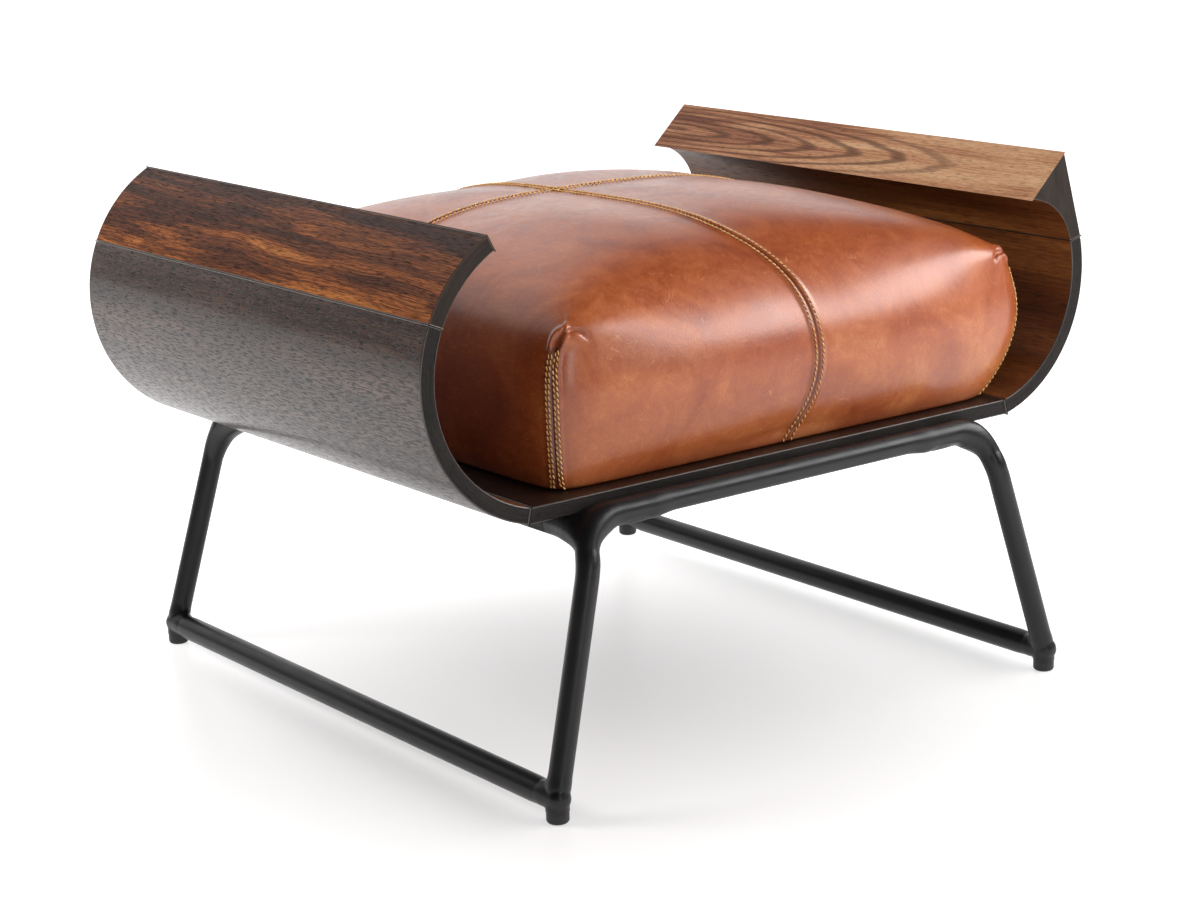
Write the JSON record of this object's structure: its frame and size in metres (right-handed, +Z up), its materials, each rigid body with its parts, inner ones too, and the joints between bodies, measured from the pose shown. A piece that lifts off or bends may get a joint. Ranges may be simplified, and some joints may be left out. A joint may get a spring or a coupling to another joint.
{
  "type": "ottoman",
  "caption": "Leather ottoman: plump leather cushion with crossed seams between two bent wood arms, on a splayed black tube frame with floor stretchers",
  "frame": {"origin": "on the floor, under the middle of the board", "axes": "+X runs across the arms to the viewer's right, +Y runs from the front to the back, +Z is up"},
  "size_m": [0.7018, 0.613, 0.4536],
  "materials": {
    "dark_wood": "dark open-pored veneer, satin lacquer",
    "cap_wood": "red-brown streaked hardwood, satin lacquer",
    "plain_wood": "unfinished beech",
    "frame_tube": "satin black powder coat",
    "glide": "moulded black nylon",
    "fastener": "zinc plated",
    "insert": "turned brass",
    "foam": "open-cell upholstery foam",
    "leather": "pull-up cognac leather, semi-gloss"
  },
  "bodies": {
    "root": {"seat_board": "dark_wood", "side_shell_left": "dark_wood", "side_shell_right": "dark_wood", "armrest_cap_left": "cap_wood", "armrest_cap_right": "cap_wood", "board_tongue_left": "plain_wood", "board_tongue_right": "plain_wood", "cap_tongue_left": "plain_wood", "cap_tongue_right": "plain_wood", "front_leg_frame": "frame_tube", "back_leg_frame": "frame_tube", "side_rail_left": "frame_tube", "side_rail_right": "frame_tube", "stretcher_left": "frame_tube", "stretcher_right": "frame_tube", "glide_left_front": "glide", "glide_left_back": "glide", "glide_right_front": "glide", "glide_right_back": "glide", "rail_tab_left_front": "frame_tube", "rail_tab_left_back": "frame_tube", "rail_tab_right_front": "frame_tube", "rail_tab_right_back": "frame_tube", "tab_screw_left_front": "fastener", "tab_screw_left_back": "fastener", "tab_screw_right_front": "fastener", "tab_screw_right_back": "fastener", "cushion_bolt_left_front": "fastener", "cushion_bolt_left_back": "fastener", "cushion_bolt_right_front": "fastener", "cushion_bolt_right_back": "fastener", "cushion_insert_left_front": "insert", "cushion_insert_left_back": "insert", "cushion_insert_right_front": "insert", "cushion_insert_right_back": "insert", "cushion_base": "plain_wood", "foam_core": "foam", "cover_left_front": "leather", "cover_left_back": "leather", "cover_right_front": "leather", "cover_right_back": "leather"}
  },
  "joints": []
}
